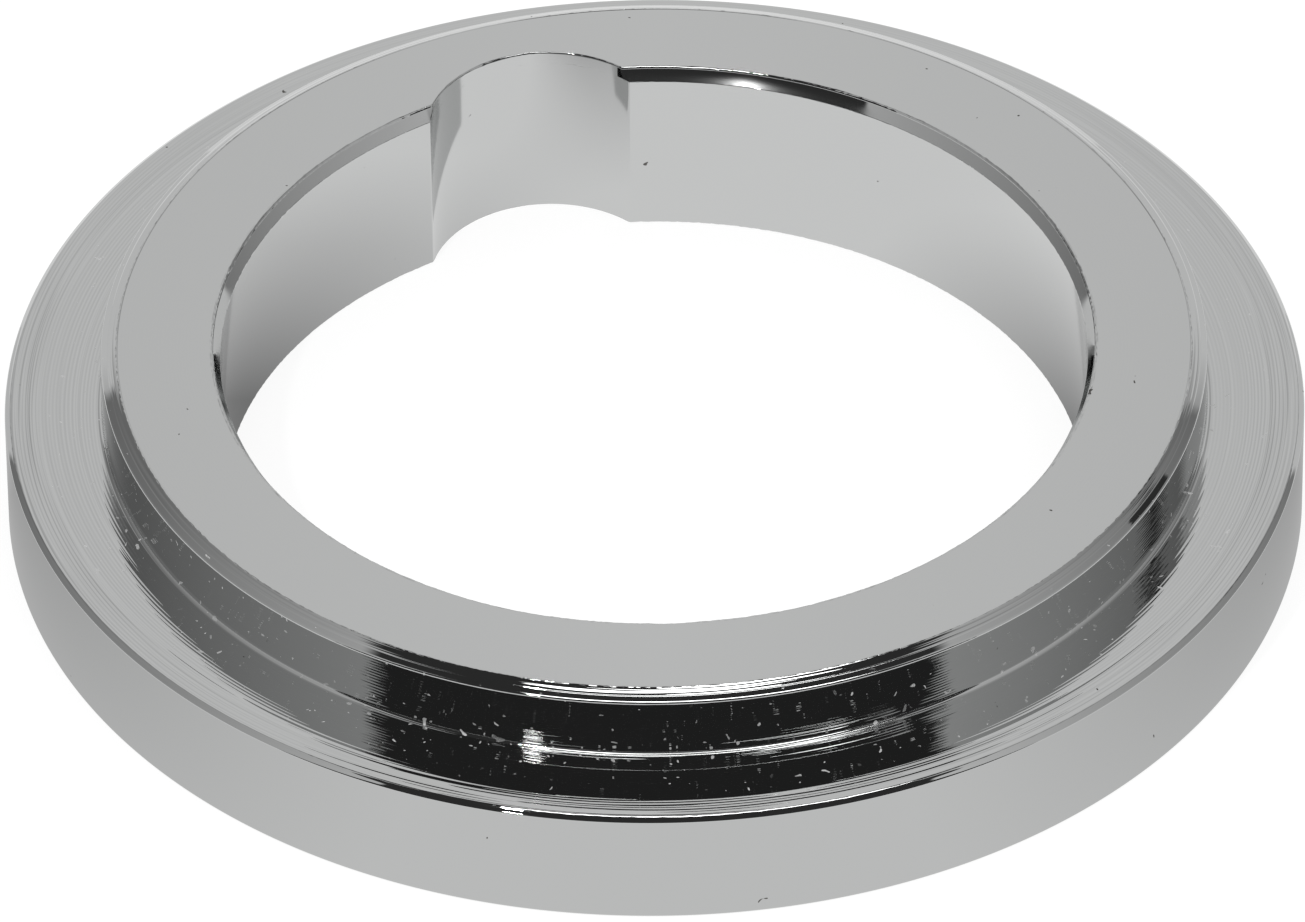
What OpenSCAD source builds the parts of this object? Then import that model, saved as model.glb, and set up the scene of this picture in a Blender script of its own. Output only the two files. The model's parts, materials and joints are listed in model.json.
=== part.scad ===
// Tap rosette: a plated ring that sits between a tap and the surface it stands on.
// It is turned from one piece of bar. A wide flange carries a raised boss, the bore goes
// right through both, and a round notch milled down the bore's wall lets a stud pass.
// The origin is at the centre of the underside, +Z points up and the notch is on +Y.

/* [Flange] */
// Outer diameter of the flange
flange_d = 50; // [47:0.5:70]
// Thickness of the flange, from the underside to its upper face
flange_t = 4.8; // [3:0.1:8]
// How far the broken edge of the flange reaches in across its upper face
flange_edge_w = 0.2; // [0.1:0.05:0.8]
// How far the broken edge of the flange reaches down its rim
flange_edge_h = 0.15; // [0.1:0.05:0.8]

/* [Boss] */
// Diameter of the boss
boss_d = 42.5; // [40:0.1:46]
// Height of the boss above the flange's upper face
boss_h = 2.8; // [1:0.1:6]
// How far the chamfer of the boss reaches in across its top face
boss_chamfer_w = 0.6; // [0.2:0.05:1]
// How far the chamfer of the boss reaches down its wall
boss_chamfer_h = 0.3; // [0.1:0.05:0.6]
// Radius left by the tool's nose in the corner between boss and flange
corner_r = 0.2; // [0.05:0.05:0.3]

/* [Bore] */
// Diameter of the bore
bore_d = 33.3; // [28:0.1:36]
// How far the chamfer of the bore reaches out across the top face
bore_chamfer_w = 0.3; // [0.1:0.05:0.8]
// How far the chamfer of the bore reaches down its wall
bore_chamfer_h = 0.55; // [0.1:0.05:1]

/* [Notch] */
// Radius of the cutter that mills the notch
notch_r = 4.7; // [3:0.1:7]
// Depth of the notch in the bore's wall
notch_depth = 1.85; // [0.8:0.05:2.5]

/* [Hidden] */
flange_r = flange_d / 2;
boss_r = boss_d / 2;
bore_r = bore_d / 2;
height = flange_t + boss_h;
// The notch's axis stands inside the bore, so that the cutter only grazes the wall
notch_y = bore_r + notch_depth - notch_r;
// Extra length of a cutter past each face it goes through
cut = 1;
$fn = 180;

// Right half of the ring's section, with the ring's axis along Y
module section() {
    difference() {
        polygon([
            [bore_r, 0],
            [flange_r, 0],
            [flange_r, flange_t - flange_edge_h],
            [flange_r - flange_edge_w, flange_t],
            [boss_r + corner_r, flange_t],
            [boss_r + corner_r, flange_t + corner_r],
            [boss_r, flange_t + corner_r],
            [boss_r, height - boss_chamfer_h],
            [boss_r - boss_chamfer_w, height],
            [bore_r + bore_chamfer_w, height],
            [bore_r, height - bore_chamfer_h]
        ]);
        // The tool's nose rolls in the corner and leaves a hollow quarter round
        translate([boss_r + corner_r, flange_t + corner_r]) circle(corner_r);
    }
}

// Cutter's path for the notch, down through the whole height
module notch_cutter() {
    translate([0, notch_y, -cut]) cylinder(h = height + 2 * cut, r = notch_r);
}

module rosette() {
    color("silver") difference() {
        rotate_extrude() section();
        notch_cutter();
    }
}

rosette();
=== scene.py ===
# Tap rosette: one plated brass ring, seen from the front and above on a white sweep.
import math
import json

import bpy
from mathutils import Matrix, Vector


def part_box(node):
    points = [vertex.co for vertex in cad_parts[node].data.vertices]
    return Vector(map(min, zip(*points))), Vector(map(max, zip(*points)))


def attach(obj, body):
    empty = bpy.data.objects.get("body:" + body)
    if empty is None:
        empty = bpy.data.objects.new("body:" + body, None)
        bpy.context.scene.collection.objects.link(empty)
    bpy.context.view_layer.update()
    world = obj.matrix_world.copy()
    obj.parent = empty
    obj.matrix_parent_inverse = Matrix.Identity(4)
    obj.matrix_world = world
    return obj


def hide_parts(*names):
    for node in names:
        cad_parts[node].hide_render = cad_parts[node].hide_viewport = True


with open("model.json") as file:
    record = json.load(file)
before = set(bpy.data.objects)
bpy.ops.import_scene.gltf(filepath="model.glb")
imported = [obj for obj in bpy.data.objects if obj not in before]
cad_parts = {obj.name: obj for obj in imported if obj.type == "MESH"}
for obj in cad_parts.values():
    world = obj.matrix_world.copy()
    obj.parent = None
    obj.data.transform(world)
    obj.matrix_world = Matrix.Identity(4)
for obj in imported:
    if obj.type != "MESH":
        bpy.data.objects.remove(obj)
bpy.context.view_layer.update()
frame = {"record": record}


# Chrome plate
# Bright nickel and chrome a few microns thick over turned brass. It keeps every ring that the tool left, so a
# reflection's border breaks into a comb, and it carries pits and some workshop dust.
class Wire:
    """A socket of a node tree. Arithmetic on it adds the tree's Math nodes, and add() adds any other node."""

    def __init__(self, tree, socket=None):
        self.tree, self.socket = tree, socket

    def add(self, kind, settings=None, inputs=None, out=0):
        node = self.tree.nodes.new(kind)
        for name, value in (settings or {}).items():
            setattr(node, name, value)
        for name, value in (inputs or {}).items():
            if isinstance(value, Wire):
                self.tree.links.new(value.socket, node.inputs[name])
            else:
                node.inputs[name].default_value = value
        return Wire(self.tree, node.outputs[out] if node.outputs else None)

    def out(self, name):
        return Wire(self.tree, self.socket.node.outputs[name])

    def math(self, operation, *others):
        return self.add("ShaderNodeMath", {"operation": operation}, dict(enumerate((self, *others))))

    def __add__(self, other):
        return self.math("ADD", other)

    def __sub__(self, other):
        return self.math("SUBTRACT", other)

    def __rsub__(self, other):
        return self * -1 + other

    def __mul__(self, other):
        return self.math("MULTIPLY", other)

    def __truediv__(self, other):
        return self.math("DIVIDE", other)

    def __lt__(self, other):
        return self.math("LESS_THAN", other)

    def __gt__(self, other):
        return self.math("GREATER_THAN", other)

    __radd__ = __add__
    __rmul__ = __mul__

    def clamp(self, low, high):
        return self.math("MAXIMUM", low).math("MINIMUM", high)

    def rise(self, start, end):
        """Goes smoothly from 0 at start to 1 at end."""
        return self.add(
            "ShaderNodeMapRange",
            {"interpolation_type": "SMOOTHSTEP"},
            {"Value": self, "From Min": start, "From Max": end},
        )

    def band(self, low, high, soft):
        """1 between low and high, and 0 from soft outside them."""
        return self.rise(low - soft, low) * (1 - self.rise(high, high + soft))

    def mix(self, other, share):
        return self * (1 - share) + other * share


def vector(sheet, x, y, z=0.0):
    return sheet.add("ShaderNodeCombineXYZ", inputs={0: x, 1: y, 2: z})


MM = 0.001
PLATE_COLOUR = (0.55, 0.556, 0.554, 1)
DUST_COLOUR = (0.42, 0.42, 0.42, 1)
PIT_COLOUR = (0.12, 0.115, 0.11, 1)
FEED = 0.14
CHATTER_SIDE = math.radians(257.8)


def chrome_plate(name):
    material = bpy.data.materials.new(name)
    material.use_nodes = True
    tree = material.node_tree
    tree.nodes.clear()
    sheet = Wire(tree)
    place = sheet.add("ShaderNodeTexCoord", out="Object")
    split = sheet.add("ShaderNodeSeparateXYZ", inputs={0: place})
    x, y, z = (split.out(axis) / MM for axis in "XYZ")
    r = (x * x + y * y).math("SQRT")
    turn_x, turn_y = x / r, y / r
    along = r - z

    def ringed(across, around, seed, detail=0.0):
        """Noise that changes quickly across the tool's rings and slowly along them."""
        return sheet.add(
            "ShaderNodeTexNoise",
            inputs={
                "Vector": vector(sheet, along * across + seed, turn_x * around, turn_y * around),
                "Scale": 1.0,
                "Detail": detail,
            },
            out="Fac",
        )

    # Tool marks, as heights in millimetres
    drift = ringed(0.7, 1.3, 3.0)
    streaks = ringed(6.0, 2.2, 33.0, 1.0)
    feed = (along * (math.tau / FEED) + drift * 9.0).math("SINE")

    boss_wall = r.band(21.2, 21.35, 0.03) * z.band(5.05, 7.2, 0.05)
    flange = r.band(22.3, 23.6, 0.1) * (z > 4.6)
    outer = r.band(23.75, 24.75, 0.15) * (z > 4.6)
    chatter = (turn_x * math.cos(CHATTER_SIDE) + turn_y * math.sin(CHATTER_SIDE)).rise(0.93, 0.945)
    corner = r.band(21.3, 22.15, 0.05) * (z > 4.6) * (z < 5.1) * (chatter * 0.9 + 0.1)
    bevel = r.band(20.62, 20.95, 0.05) * z.band(7.3, 7.62, 0.02)
    groove = boss_wall * 0.0011 + flange * 0.0007 + corner * 0.006 + outer * 0.0012 + 0.00004
    height = feed * groove * (drift * 1.6) + streaks * (outer * 0.016 + bevel * 0.02 + corner * 0.02 + flange * 0.003)
    ramp = z.band(7.07, 7.52, 0.01) * (r < 17.05)
    height = height - ramp * (z - 7.07) * 0.335
    relief = sheet.add("ShaderNodeBump", inputs={"Height": height, "Distance": MM, "Strength": 1.0})

    # Dust, pits and fibres: cells of bent space, each with a speck of its own size or none
    bend = sheet.add("ShaderNodeTexNoise", inputs={"Vector": place, "Scale": 1500.0, "Detail": 1.0}, out="Color")
    bend = sheet.add("ShaderNodeVectorMath", {"operation": "SCALE"}, {0: bend, "Scale": 1.1 * MM})
    bent = sheet.add("ShaderNodeVectorMath", {"operation": "ADD"}, {0: place, 1: bend})
    cells = sheet.add("ShaderNodeTexVoronoi", inputs={"Vector": bent, "Scale": 2600.0})
    pick = sheet.add("ShaderNodeSeparateColor", inputs={0: cells.out("Color")})
    dusty = r.band(20.7, 23.5, 0.4) * (z > 4.6) * (z < 7.4)
    low_wall = z.band(4.75, 5.3, 0.15) * r.band(21.1, 21.5, 0.3)
    speck = pick.out("Red").rise(0.35, 1.0) * (dusty * 0.2 + low_wall * 0.1)
    speck = 1 - (cells.out("Distance") - speck).rise(-0.03, 0.03)
    speck = speck * (pick.out("Green") * 0.9)
    hole = pick.out("Blue").rise(0.985, 1.0) * 0.2
    pit = 1 - (cells.out("Distance") - hole).rise(-0.02, 0.02)

    colour = sheet.add("ShaderNodeMix", {"data_type": "RGBA"}, {0: pit, 6: PLATE_COLOUR, 7: PIT_COLOUR}, out=2)
    colour = sheet.add("ShaderNodeMix", {"data_type": "RGBA"}, {0: speck, 6: colour, 7: DUST_COLOUR}, out=2)
    inner = 1 - r.rise(16.7, 16.9)
    milled = (x * x + (y - 13.8) * (y - 13.8)).math("SQRT").band(4.6, 4.72, 0.03) * (y > 15.5)
    rough = 0.02 + inner.math("MAXIMUM", milled) * 0.07 + speck * 0.6 + pit * 0.3
    shader = sheet.add(
        "ShaderNodeBsdfPrincipled",
        inputs={
            "Base Color": colour,
            "Metallic": 1 - speck,
            "Roughness": rough,
            "Normal": relief,
            "Specular IOR Level": 0.3,
        },
    )
    sheet.add("ShaderNodeOutputMaterial", inputs={"Surface": shader})
    return material


chrome = chrome_plate("chrome_plate")


# The ring
# Turned from one piece of brass bar: flange, boss, bore and chamfers come off the lathe, the notch down the
# bore's wall is milled afterwards, and the whole is plated. Its edges keep a fine burr where the cuts meet.
mounts = {mount["name"]: mount for mount in frame["record"]["mounts"]}
FLANGE_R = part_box("rosette")[1][0]
HEIGHT = mounts["boss_top"]["pos_m"][2]
FLANGE_T = mounts["shoulder"]["pos_m"][2]
BOSS_R = mounts["boss"]["dims"]["r_mm"] * MM
BORE_R = mounts["bore"]["dims"]["r_mm"] * MM
BORE_WALL = mounts["bore"]["dims"]["length_mm"] * MM
BORE_CHAMFER_W = 0.3 * MM
BOSS_CHAMFER_W = 0.6 * MM
BOSS_CHAMFER_H = 0.3 * MM
FLANGE_EDGE_W = 0.2 * MM
FLANGE_EDGE_H = 0.15 * MM
NOTCH_R = 4.7 * MM
NOTCH_DEPTH = 1.85 * MM
NOTCH_AXIS = BORE_R + NOTCH_DEPTH - NOTCH_R
SUPPORT = 0.02 * MM
# Section corners: radius, height, rounding, how far chips move it, and how high its burr stands
corners = [
    (BORE_R, 0, 0.08 * MM, 0.012 * MM, 0),
    (FLANGE_R, 0, 0.1 * MM, 0, 0),
    (FLANGE_R, FLANGE_T - FLANGE_EDGE_H, 0.07 * MM, 0, 0),
    (FLANGE_R - FLANGE_EDGE_W, FLANGE_T, 0.1 * MM, 0.003 * MM, 0),
    (BOSS_R, FLANGE_T, 0.16 * MM, 0, 0),
    (BOSS_R, HEIGHT - BOSS_CHAMFER_H, 0.1 * MM, 0.002 * MM, 0),
    (BOSS_R - BOSS_CHAMFER_W, HEIGHT, 0.07 * MM, 0.012 * MM, 0),
    (BORE_R + BORE_CHAMFER_W, HEIGHT, 0.14 * MM, 0.01 * MM, 0.03 * MM),
    (BORE_R, BORE_WALL, 0.04 * MM, 0.003 * MM, 0),
]


def rounded(before, corner, after, radius, steps=4):
    """Points of an arc that rounds a corner, with one more on each side that keeps the flats flat."""
    back, ahead = (before - corner).normalized(), (after - corner).normalized()
    half = back.angle(ahead) / 2
    reach = radius / math.tan(half)
    centre = corner + (back + ahead).normalized() * radius / math.sin(half)
    start = corner + back * reach - centre
    turn = start.angle_signed(corner + ahead * reach - centre)
    arc = [centre + Matrix.Rotation(-turn * k / steps, 2) @ start for k in range(steps + 1)]
    return [arc[0] + back * SUPPORT, *arc, arc[-1] + ahead * SUPPORT]


section, chips, burrs = [], [], []
for k, (r, z, radius, chip, burr) in enumerate(corners):
    before, after = corners[k - 1], corners[(k + 1) % len(corners)]
    points = rounded(Vector(before[:2]), Vector((r, z)), Vector(after[:2]), radius)
    section += [(p.x, 0, p.y) for p in points]
    chips += [0, 0, chip, chip, chip, 0, 0]
    burrs += [0, 0, burr * 0.5, burr, burr * 0.5, 0, 0]


def notch_reach(theta, notch_r, notch_axis):
    """Distance from the bore's axis to the notch's wall, in the direction theta from +Y, or 0 beside it."""
    across = theta.math("SINE") * notch_axis
    ahead = theta.math("COSINE") * notch_axis
    inside = notch_r * notch_r - across * across
    reach = ahead + inside.math("MAXIMUM", 0.0).math("SQRT")
    return reach * (inside > 0.0) * (ahead > 0.0)


def crowded(turn, corner, pull=0.75, width=0.03):
    """An angle that runs as turn does, with the steps closer together at plus and minus corner."""
    spare = pull * width
    stretch = 1 + 2 * spare / math.pi
    centre = (corner + spare) / stretch
    right = ((turn - centre) / width).math("TANH")
    left = ((turn + centre) / width).math("TANH")
    return turn * stretch - (right + left) * spare


def turned_ring():
    tree = bpy.data.node_groups.new("turned_ring", "GeometryNodeTree")
    face = tree.interface
    face.new_socket("Geometry", in_out="INPUT", socket_type="NodeSocketGeometry")
    for name, kind in (
        ("Steps around", "NodeSocketInt"),
        ("Section points", "NodeSocketInt"),
        ("Notch radius", "NodeSocketFloat"),
        ("Notch axis", "NodeSocketFloat"),
        ("Notch corner", "NodeSocketFloat"),
        ("Corner blend", "NodeSocketFloat"),
        ("Burr seed", "NodeSocketFloat"),
        ("Material", "NodeSocketMaterial"),
    ):
        face.new_socket(name, in_out="INPUT", socket_type=kind)
    face.new_socket("Geometry", in_out="OUTPUT", socket_type="NodeSocketGeometry")
    sheet = Wire(tree)
    given = sheet.add("NodeGroupInput")
    steps, count = given.out("Steps around"), given.out("Section points")
    grid = sheet.add("GeometryNodeMeshGrid", inputs={"Vertices X": steps + 1, "Vertices Y": count + 1})
    index = sheet.add("GeometryNodeInputIndex")
    column = (index / (count + 1)).math("FLOOR")
    row = index - column * (count + 1)
    row = row.math("MODULO", count)

    def from_section(value, kind):
        return sheet.add(
            "GeometryNodeSampleIndex",
            {"data_type": kind},
            {"Geometry": given.out("Geometry"), "Value": value, "Index": row},
        )

    point = from_section(sheet.add("GeometryNodeInputPosition"), "FLOAT_VECTOR")
    split = sheet.add("ShaderNodeSeparateXYZ", inputs={0: point})
    r, z = split.out("X"), split.out("Z")
    turn = (column / steps - 0.5) * math.tau
    theta = crowded(turn, given.out("Notch corner"))
    reach = notch_reach(theta, given.out("Notch radius"), given.out("Notch axis"))
    soften = ((z - (HEIGHT - 0.08 * MM)) / (0.08 * MM)).clamp(0.0, 1.0)
    soften = (1 - (1 - soften * soften).math("SQRT")) * 0.08 * MM
    r = r.math("SMOOTH_MAX", reach + soften + (r - BORE_R) * 0.004, given.out("Corner blend"))
    spot = sheet.add(
        "ShaderNodeCombineXYZ",
        inputs={0: r * theta.math("SINE"), 1: r * theta.math("COSINE"), 2: z},
    )

    def section_value(name):
        value = sheet.add("GeometryNodeInputNamedAttribute", {"data_type": "FLOAT"}, {"Name": name})
        return from_section(value, "FLOAT")

    def noise(scale, detail, out):
        return sheet.add(
            "ShaderNodeTexNoise",
            {"noise_dimensions": "4D"},
            {"Vector": spot, "W": given.out("Burr seed"), "Scale": scale, "Detail": detail},
            out=out,
        )

    chips = sheet.add("ShaderNodeVectorMath", {"operation": "SUBTRACT"}, {0: noise(5500.0, 1.0, "Color"), 1: (0.5, 0.5, 0.5)})
    chips = sheet.add("ShaderNodeVectorMath", {"operation": "SCALE"}, {0: chips, "Scale": section_value("chip") * 4.0})
    stands = section_value("burr") * noise(700.0, 2.0, "Fac").rise(0.35, 0.65)
    chips = sheet.add("ShaderNodeVectorMath", {"operation": "ADD"}, {0: chips, 1: vector(sheet, 0.0, 0.0, stands)})
    skin = sheet.add(
        "GeometryNodeSetPosition", inputs={"Geometry": grid, "Position": spot, "Offset": chips}
    )
    skin = sheet.add("GeometryNodeMergeByDistance", inputs={"Geometry": skin, "Distance": 1e-8})
    skin = sheet.add("GeometryNodeSetShadeSmooth", inputs={"Geometry": skin})
    skin = sheet.add(
        "GeometryNodeSetMaterial", inputs={"Geometry": skin, "Material": given.out("Material")}
    )
    sheet.add("NodeGroupOutput", inputs={"Geometry": skin})
    return tree


def grown(name, seed_mesh, tree, values):
    """Runs a Geometry Nodes tree on a mesh and returns the plain object that it grows."""
    piece = bpy.data.objects.new(name, seed_mesh)
    bpy.context.scene.collection.objects.link(piece)
    nodes = piece.modifiers.new("grow", "NODES")
    nodes.node_group = tree
    for item in tree.interface.items_tree:
        if item.name in values:
            nodes[item.identifier] = values[item.name]
    depsgraph = bpy.context.evaluated_depsgraph_get()
    mesh = bpy.data.meshes.new_from_object(piece.evaluated_get(depsgraph))
    piece.modifiers.clear()
    piece.data = mesh
    mesh.name = name
    return piece


outline = bpy.data.meshes.new("section")
outline.from_pydata(section, [(k, k + 1) for k in range(len(section) - 1)], [])
outline.attributes.new("chip", "FLOAT", "POINT").data.foreach_set("value", chips)
outline.attributes.new("burr", "FLOAT", "POINT").data.foreach_set("value", burrs)
corner_y = (BORE_R**2 - NOTCH_R**2 + NOTCH_AXIS**2) / (2 * NOTCH_AXIS)
ring = grown(
    "rosette_metal",
    outline,
    turned_ring(),
    {
        "Steps around": 1500,
        "Section points": len(section),
        "Notch radius": NOTCH_R,
        "Notch axis": NOTCH_AXIS,
        "Notch corner": math.acos(corner_y / BORE_R),
        "Corner blend": 0.08 * MM,
        "Burr seed": 4.0,
        "Material": chrome,
    },
)
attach(ring, "root")
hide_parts("rosette")


# Camera
# A long lens from the front left of the notch and about 40 degrees up, turned a little about its own axis.
LENS = 430.07
DISTANCE = 0.60308
AZIMUTH = math.radians(-17.188)
ELEVATION = math.radians(39.515)
ROLL = math.radians(-0.529)
AIM = Vector((0.000128, 0.000738, 0.000901))
back = Vector(
    (
        math.sin(AZIMUTH) * math.cos(ELEVATION),
        -math.cos(AZIMUTH) * math.cos(ELEVATION),
        math.sin(ELEVATION),
    )
)
lens = bpy.data.cameras.new("camera")
lens.lens, lens.sensor_width = LENS, 36.0
lens.clip_start, lens.clip_end = 0.05, 10.0
camera = bpy.data.objects.new("camera", lens)
turned = (-back).to_track_quat("-Z", "Y").to_matrix() @ Matrix.Rotation(ROLL, 3, "Z")
camera.matrix_world = Matrix.Translation(AIM + back * DISTANCE) @ turned.to_4x4()
bpy.context.scene.collection.objects.link(camera)
bpy.context.scene.camera = camera
bpy.context.scene.view_settings.view_transform = "Standard"


# Studio
# A white sweep runs up behind the ring and grey side walls stand left and right. The camera's side and the
# ceiling are dark, apart from a softbox overhead and one small lamp to the camera's left.
def towards_camera(sheet, direction):
    """A direction's parts to the camera's right, away from the camera, and up."""
    level = sheet.add(
        "ShaderNodeVectorRotate", {"rotation_type": "Z_AXIS"}, {"Vector": direction, "Angle": -AZIMUTH}
    )
    split = sheet.add("ShaderNodeSeparateXYZ", inputs={0: level})
    return split.out("X"), split.out("Y"), split.out("Z")


def studio_world():
    world = bpy.data.worlds.new("studio")
    world.use_nodes = True
    tree = world.node_tree
    tree.nodes.clear()
    sheet = Wire(tree)
    glossy = sheet.add("ShaderNodeLightPath").out("Is Glossy Ray")
    right, away, up = towards_camera(sheet, sheet.add("ShaderNodeTexCoord", out="Generated"))
    around = right.math("ARCTAN2", away * -1) * math.degrees(1)
    height = up.math("ARCSINE") * math.degrees(1)
    side = around.math("ABSOLUTE")
    on_right = around > 0.0
    walls = (120 - side) * (on_right * 0.001 + 0.0045) + on_right * 0.03 + 0.30
    walls = walls.math("MAXIMUM", 0.22) + (height - 40).math("MAXIMUM", 0.0) * 0.007
    sweep_edge = height * (on_right * 0.07 + 0.5) - on_right * 6 + 128
    sweep_level = height * 0.0025 + 0.74 - (180 - side) * ((height - 22) / 18).clamp(0.0, 1.0) * 0.022
    sweep_level = sweep_level.math("MAXIMUM", on_right * 0.2 + 0.27)
    room = walls.mix(sweep_level, (side - sweep_edge).rise(-1.0, 1.5))
    stand = around.band(125.0, 131.0, 1.0) * height.band(37.0, 43.0, 0.5)
    room = room.mix(0.04, stand)
    room = room.mix(0.038, (1 - (side - 61.5).rise(-0.7, 0.7)).math("MAXIMUM", height.rise(64.0, 66.0)))
    shade = sheet.add(
        "ShaderNodeBackground",
        inputs={"Color": (1, 1, 1, 1), "Strength": (1 - glossy) + glossy * room},
    )
    sheet.add("ShaderNodeOutputWorld", inputs={"Surface": shade})
    return world


bpy.context.scene.world = studio_world()


def sweep_white(name):
    """White paper. Metal sees it with painted shade: its glow for glossy rays is darker at the ring's two sides, as if
    the ring and the walls shaded it.
    """
    material = bpy.data.materials.new(name)
    material.use_nodes = True
    tree = material.node_tree
    tree.nodes.clear()
    sheet = Wire(tree)
    path = sheet.add("ShaderNodeLightPath")
    glossy, seen = path.out("Is Glossy Ray"), path.out("Is Camera Ray")
    x, y, z = towards_camera(sheet, sheet.add("ShaderNodeTexCoord", out="Object"))
    radius = (x * x + y * y).math("SQRT")
    facing = y.math("ABSOLUTE") / radius
    # Painted shade: for glossy rays the paper's glow is set darker towards the ring's two sides, outside the ring and
    # inside its hole, in place of the shade that the ring and the walls cast.
    limit = 0.87 - y.rise(0.0, 0.015) * 0.17
    outside = (facing * 0.49 + 0.43).math("MINIMUM", limit).mix(0.93, radius.rise(0.0305, 0.0315))
    inside = (facing * 1.05 - 0.02 + (x / 0.008).clamp(-1.0, 1.0) * 0.09).clamp(0.25, 0.98)
    inside = inside.mix(0.98, 1 - radius.rise(0.003, 0.009))
    level = inside.mix(outside, radius.rise(0.019, 0.022))
    paper = sheet.add("ShaderNodeBsdfDiffuse", inputs={"Color": (0.9, 0.9, 0.9, 1)})
    glow = sheet.add(
        "ShaderNodeEmission",
        inputs={"Color": (1, 1, 1, 1), "Strength": glossy * level + (1 - glossy) * 1.03},
    )
    lit = sheet.add("ShaderNodeMixShader", inputs={0: glossy + seen * 0.8, 1: paper, 2: glow})
    sheet.add("ShaderNodeOutputMaterial", inputs={"Surface": lit})
    return material


FLOOR_HALF = 1.5
floor_mesh = bpy.data.meshes.new("floor")
floor_mesh.from_pydata(
    [(-FLOOR_HALF, -FLOOR_HALF, 0), (FLOOR_HALF, -FLOOR_HALF, 0), (FLOOR_HALF, FLOOR_HALF, 0), (-FLOOR_HALF, FLOOR_HALF, 0)],
    [],
    [(0, 1, 2, 3)],
)
floor_mesh.materials.append(sweep_white("sweep_white"))
floor = bpy.data.objects.new("floor", floor_mesh)
bpy.context.scene.collection.objects.link(floor)


def area_lamp(name, place, aim, size, level):
    """A rectangular lamp that shines with the same brightness over its whole face."""
    lamp = bpy.data.lights.new(name, "AREA")
    lamp.shape = "RECTANGLE"
    lamp.size, lamp.size_y = size
    lamp.energy = math.pi * size[0] * size[1] * level
    held = bpy.data.objects.new(name, lamp)
    facing = (aim - place).to_track_quat("-Z", "Y").to_matrix().to_4x4()
    held.matrix_world = Matrix.Rotation(AZIMUTH, 4, "Z") @ Matrix.Translation(place) @ facing
    bpy.context.scene.collection.objects.link(held)


SOFTBOX_Z = 0.6
softbox_x = (-0.235 * SOFTBOX_Z, 0.42 * SOFTBOX_Z)
softbox_y = (-0.4 * SOFTBOX_Z, -0.12 * SOFTBOX_Z)
middle = Vector((sum(softbox_x) / 2, sum(softbox_y) / 2, SOFTBOX_Z))
area_lamp(
    "softbox",
    middle,
    middle - Vector((0, 0, 1)),
    (softbox_x[1] - softbox_x[0], softbox_y[1] - softbox_y[0]),
    5.0,
)
LAMP_AZIMUTH = math.radians(-30)
LAMP_ELEVATION = math.radians(55)
lamp_back = Vector(
    (
        math.sin(LAMP_AZIMUTH) * math.cos(LAMP_ELEVATION),
        -math.cos(LAMP_AZIMUTH) * math.cos(LAMP_ELEVATION),
        math.sin(LAMP_ELEVATION),
    )
)
area_lamp("small_lamp", lamp_back * 0.8, Vector((0, 0, 0)), (0.03, 0.03), 400.0)
